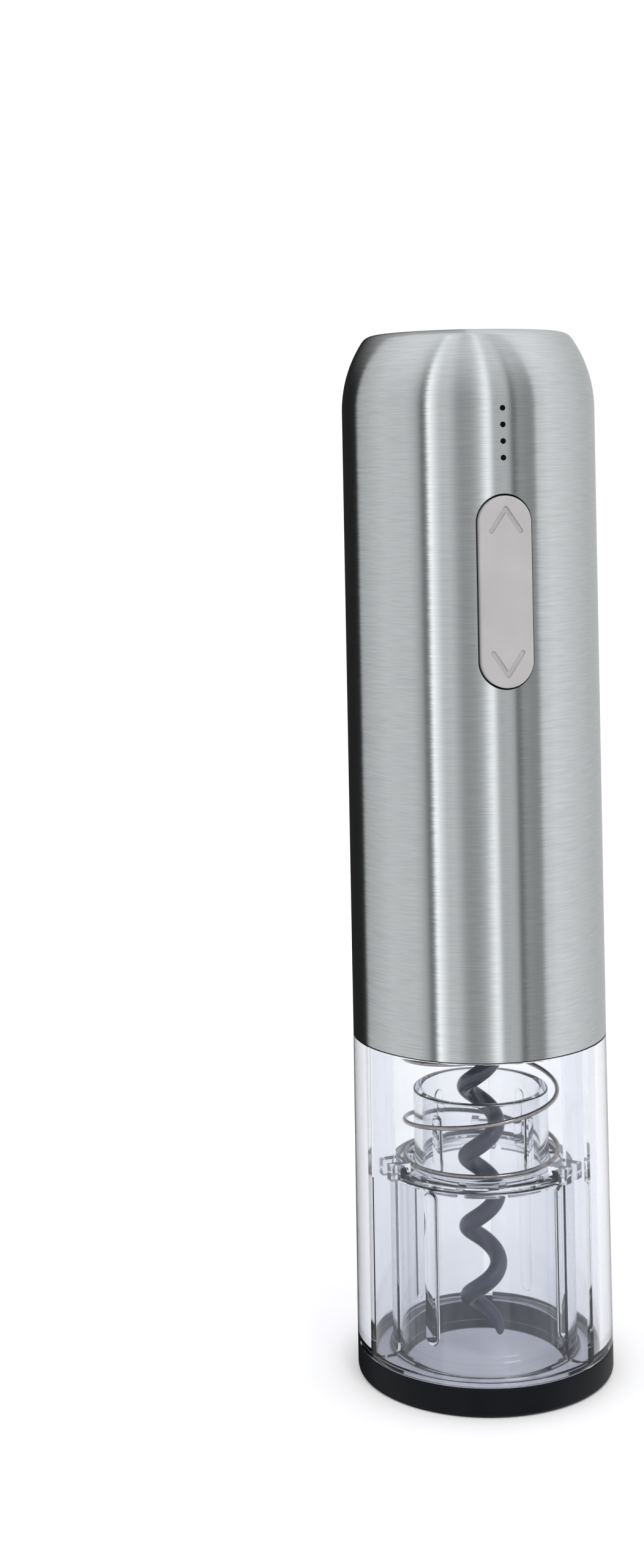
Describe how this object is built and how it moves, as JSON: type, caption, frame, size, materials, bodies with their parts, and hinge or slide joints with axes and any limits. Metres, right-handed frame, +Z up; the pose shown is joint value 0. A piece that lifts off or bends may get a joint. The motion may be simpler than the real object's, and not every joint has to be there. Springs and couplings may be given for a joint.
{
  "type": "electric wine opener",
  "caption": "Upright battery wine opener: steel motor unit with a rocker button over a clear housing that shows the worm, sprung cork sleeve and neck guide.",
  "frame": {"origin": "on the opener's axis, at the surface it stands on", "axes": "+Z up along the axis; the button faces -Y; +X is to the right of someone facing the button"},
  "size_m": [0.0462, 0.0468, 0.187],
  "materials": {
    "clear_plastic": "gloss",
    "black_ring": "satin",
    "brushed_steel": "brushed",
    "spring_steel": "polished",
    "coated_steel": "satin",
    "button_plastic": "satin",
    "dark_plastic": "matte",
    "light_guide_plastic": "gloss",
    "pale_nylon": "matte",
    "bronze": "satin",
    "plated_steel": "gloss",
    "board": "satin",
    "wire_sleeve": "satin",
    "cell_wrap": "satin"
  },
  "bodies": {
    "housing": {"clear_housing": "clear_plastic", "base_ring": "black_ring", "spring_retainer": "clear_plastic", "return_spring": "spring_steel"},
    "carriage": {"cork_sleeve": "clear_plastic"},
    "motor_unit": {"steel_shell": "brushed_steel", "chassis_front": "dark_plastic", "chassis_rear": "dark_plastic", "chassis_screws": "plated_steel", "gearbox_case": "pale_nylon", "gearbox_cover": "pale_nylon", "gearbox_screws": "plated_steel", "output_bush": "bronze", "motor_can": "plated_steel", "motor_end_cap": "pale_nylon", "motor_screws": "plated_steel", "motor_leads": "wire_sleeve", "battery_cradle": "dark_plastic", "battery_cell": "cell_wrap", "battery_tabs": "plated_steel", "circuit_board": "board", "switches": "dark_plastic", "status_leds": "pale_nylon", "light_guide": "light_guide_plastic", "charge_socket": "plated_steel", "button_axle": "plated_steel"},
    "worm_drive": {"worm": "coated_steel", "worm_holder": "plated_steel", "grub_screw": "coated_steel", "output_carrier": "plated_steel", "output_pins": "plated_steel"},
    "first_stage": {"first_carrier": "plated_steel", "second_sun": "bronze", "first_pins": "plated_steel"},
    "rotor": {"motor_shaft": "plated_steel", "motor_pinion": "bronze"},
    "rocker": {"rocker_button": "button_plastic"},
    "second_planet_a": {"second_planet_a": "pale_nylon"},
    "first_planet_a": {"first_planet_a": "pale_nylon"},
    "second_planet_b": {"second_planet_b": "pale_nylon"},
    "first_planet_b": {"first_planet_b": "pale_nylon"},
    "second_planet_c": {"second_planet_c": "pale_nylon"},
    "first_planet_c": {"first_planet_c": "pale_nylon"}
  },
  "joints": [
    {"name": "carriage_slide", "type": "slide", "parent": "housing", "child": "carriage", "axis": [0, 0, 1], "range_m": [0, 0.02], "stiffness_N_per_m": 64, "springref_m": -0.02, "deforming": ["return_spring"]},
    {"name": "motor_unit_lift", "type": "slide", "parent": "housing", "child": "motor_unit", "axis": [0, 0, 1], "range_m": [0, 0.075]},
    {"name": "worm_spin", "type": "hinge", "parent": "motor_unit", "child": "worm_drive", "pos_m": [0, 0, 0.1], "axis": [0, 0, 1], "continuous": true},
    {"name": "first_stage_spin", "type": "hinge", "parent": "motor_unit", "child": "first_stage", "pos_m": [0, 0, 0.1118], "axis": [0, 0, 1], "continuous": true},
    {"name": "motor_spin", "type": "hinge", "parent": "motor_unit", "child": "rotor", "pos_m": [0, 0, 0.13], "axis": [0, 0, 1], "continuous": true},
    {"name": "rocker_tilt", "type": "hinge", "parent": "motor_unit", "child": "rocker", "pos_m": [0, -0.02, 0.1415], "axis": [1, 0, 0], "range_deg": [-2, 2], "stiffness_Nm_per_rad": 0.05},
    {"name": "second_planet_a_spin", "type": "hinge", "parent": "worm_drive", "child": "second_planet_a", "pos_m": [0.0108, 0, 0.109], "axis": [0, 0, 1], "continuous": true},
    {"name": "first_planet_a_spin", "type": "hinge", "parent": "first_stage", "child": "first_planet_a", "pos_m": [0.0108, 0, 0.1152], "axis": [0, 0, 1], "continuous": true},
    {"name": "second_planet_b_spin", "type": "hinge", "parent": "worm_drive", "child": "second_planet_b", "pos_m": [-0.0054, 0.00935, 0.109], "axis": [0, 0, 1], "continuous": true},
    {"name": "first_planet_b_spin", "type": "hinge", "parent": "first_stage", "child": "first_planet_b", "pos_m": [-0.0054, 0.00935, 0.1152], "axis": [0, 0, 1], "continuous": true},
    {"name": "second_planet_c_spin", "type": "hinge", "parent": "worm_drive", "child": "second_planet_c", "pos_m": [-0.0054, -0.00935, 0.109], "axis": [0, 0, 1], "continuous": true},
    {"name": "first_planet_c_spin", "type": "hinge", "parent": "first_stage", "child": "first_planet_c", "pos_m": [-0.0054, -0.00935, 0.1152], "axis": [0, 0, 1], "continuous": true}
  ],
  "couplings": [
    {"joint": "first_stage_spin", "follows": "worm_spin", "ratio": 4.5},
    {"joint": "motor_spin", "follows": "worm_spin", "ratio": 20.25},
    {"joint": "second_planet_a_spin", "follows": "worm_spin", "ratio": -2.8},
    {"joint": "first_planet_a_spin", "follows": "worm_spin", "ratio": -12.6},
    {"joint": "second_planet_b_spin", "follows": "worm_spin", "ratio": -2.8},
    {"joint": "first_planet_b_spin", "follows": "worm_spin", "ratio": -12.6},
    {"joint": "second_planet_c_spin", "follows": "worm_spin", "ratio": -2.8},
    {"joint": "first_planet_c_spin", "follows": "worm_spin", "ratio": -12.6}
  ]
}
